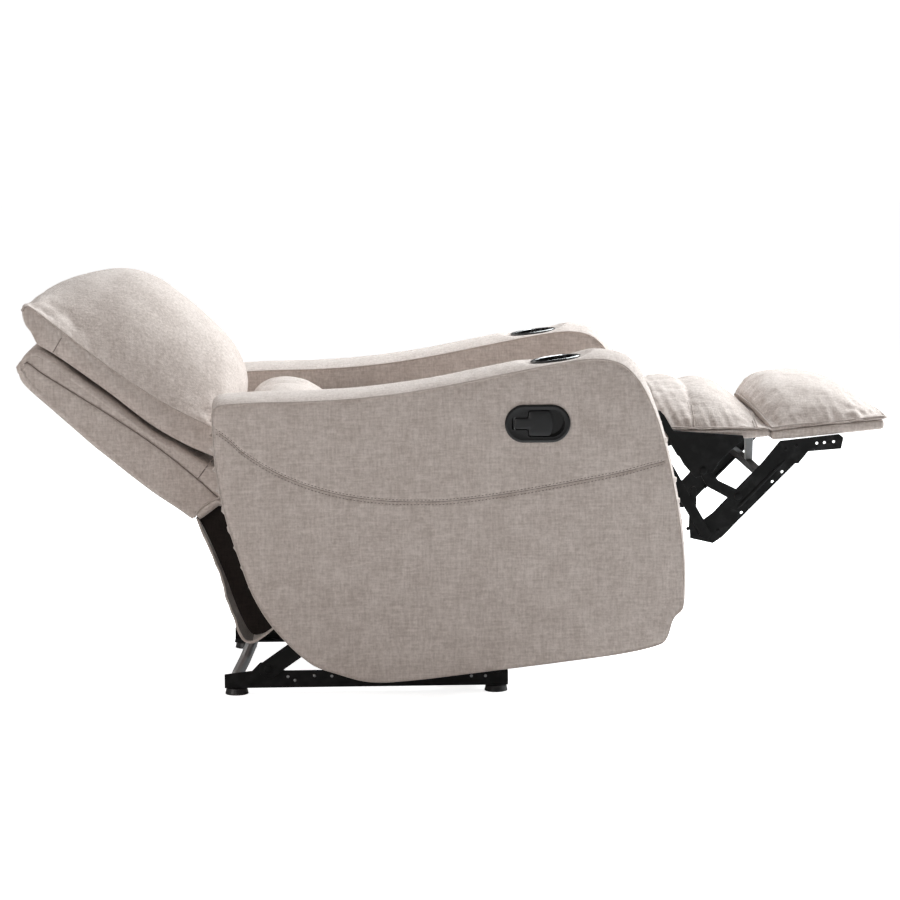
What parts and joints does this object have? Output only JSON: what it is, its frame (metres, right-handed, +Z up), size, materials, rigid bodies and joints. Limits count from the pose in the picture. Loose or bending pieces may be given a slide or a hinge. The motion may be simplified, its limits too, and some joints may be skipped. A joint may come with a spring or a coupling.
{
  "type": "recliner armchair",
  "caption": "Fabric recliner armchair on a rocking steel linkage, with a fold-out two-panel footrest, cup holders in the arms and a side release lever.",
  "frame": {"origin": "bottom centre of the object's box: on the floor, midway between the back's rear edge and the footrest's toe", "axes": "+X the way the sitter faces, towards the footrest; +Y the sitter's left; +Z up"},
  "size_m": [1.6, 0.8035, 0.774],
  "materials": {
    "fabric": "brushed woven chenille, warm grey taupe, matt",
    "wood": "raw plywood",
    "black_steel": "black powder coat, satin",
    "grey_steel": "bare zinc-grey steel",
    "black_plastic": "moulded black plastic, glossy",
    "webbing": "woven black seat webbing",
    "cable_jacket": "black cable jacket, satin"
  },
  "bodies": {
    "base": {"base_rail_right": "black_steel", "base_rail_left": "black_steel", "foot_rear_right": "black_plastic", "foot_rear_left": "black_plastic", "foot_front_right": "black_plastic", "foot_front_left": "black_plastic", "rear_cross_tube": "grey_steel", "front_cross_bar": "black_steel"},
    "rear_links": {"rear_link_right": "black_steel", "rear_link_left": "black_steel"},
    "front_links": {"front_link_right": "black_steel", "front_link_left": "black_steel"},
    "body": {"side_plate_right": "black_steel", "side_plate_left": "black_steel", "arm_outer_panel_right": "fabric", "arm_outer_panel_left": "fabric", "arm_inner_panel_right": "fabric", "arm_inner_panel_left": "fabric", "arm_band_right": "fabric", "arm_band_left": "fabric", "cup_holder_right": "black_plastic", "cup_holder_left": "black_plastic", "return_spring_right": "grey_steel", "return_spring_left": "grey_steel", "lever_bezel": "black_plastic", "lever_pin": "grey_steel", "release_cable": "cable_jacket", "seat_rail_front": "wood", "seat_rail_rear": "wood", "seat_rail_left": "wood", "seat_rail_right": "wood", "seat_deck": "webbing", "seat_cushion": "fabric", "rear_flap": "fabric"},
    "drive": {"drive_tube": "black_steel"},
    "back": {"back_shell": "fabric", "back_frame": "wood", "back_cushion": "fabric", "lumbar_pad": "fabric", "back_bracket_right": "black_steel", "back_bracket_left": "black_steel"},
    "lever": {"lever_paddle": "black_plastic"},
    "mid_rest": {"mid_board": "wood", "mid_pad": "fabric", "mid_bracket_right": "black_steel", "mid_bracket_left": "black_steel", "curved_link_right": "black_steel", "curved_link_left": "black_steel"},
    "foot_panel": {"footrest_board": "wood", "footrest_pad": "fabric", "footrest_cross_tube": "black_steel", "centre_stay": "grey_steel", "channel_bracket_right": "black_steel", "channel_bracket_left": "black_steel", "fold_stop_right": "black_steel", "fold_stop_left": "black_steel"},
    "lower_links": {"lower_link_right": "black_steel", "lower_link_left": "black_steel"}
  },
  "joints": [
    {"name": "recline", "type": "hinge", "parent": "base", "child": "rear_links", "pos_m": [-0.345, 0, 0.048], "axis": [0, -1, 0], "range_deg": [0, 60]},
    {"name": "body_rock", "type": "hinge", "parent": "rear_links", "child": "body", "pos_m": [-0.2533, 0, 0.1122], "axis": [0, 1, 0], "range_deg": [0, 67.35]},
    {"name": "front_link_swing", "type": "hinge", "parent": "base", "child": "front_links", "pos_m": [0.0786, 0, 0.045], "axis": [0, -1, 0], "range_deg": [0, 76.6]},
    {"name": "back_recline", "type": "hinge", "parent": "body", "child": "back", "pos_m": [-0.31, 0, 0.44], "axis": [0, 1, 0], "range_deg": [0, 35.05], "deforming": ["rear_flap"]},
    {"name": "footrest_swing", "type": "hinge", "parent": "body", "child": "mid_rest", "pos_m": [0.374, 0, 0.508], "axis": [0, 1, 0], "range_deg": [0, 83]},
    {"name": "foot_panel_fold", "type": "hinge", "parent": "mid_rest", "child": "foot_panel", "pos_m": [0.524, 0, 0.36], "axis": [0, 1, 0], "range_deg": [0, 5.05]},
    {"name": "lower_link_swing", "type": "hinge", "parent": "body", "child": "lower_links", "pos_m": [0.364, 0, 0.4677], "axis": [0, 1, 0], "range_deg": [0, 99.6]},
    {"name": "drive_turn", "type": "hinge", "parent": "body", "child": "drive", "pos_m": [0.082, 0, 0.33], "axis": [0, 1, 0], "range_deg": [0, 60.1], "deforming": ["return_spring_right", "return_spring_left"]},
    {"name": "lever_pull", "type": "hinge", "parent": "body", "child": "lever", "pos_m": [0.104, -0.3965, 0.5145], "axis": [0, 0, -1], "range_deg": [0, 32], "stiffness_Nm_per_rad": 0.4, "springref_deg": -11.46}
  ],
  "couplings": [
    {"joint": "body_rock", "follows": "recline", "ratio": 1.1217},
    {"joint": "front_link_swing", "follows": "recline", "ratio": 1.2753},
    {"joint": "back_recline", "follows": "recline", "ratio": 0.58333},
    {"joint": "foot_panel_fold", "follows": "footrest_swing", "ratio": 0.06024},
    {"joint": "lower_link_swing", "follows": "footrest_swing", "ratio": 1.1989},
    {"joint": "drive_turn", "follows": "footrest_swing", "ratio": 0.72289}
  ]
}
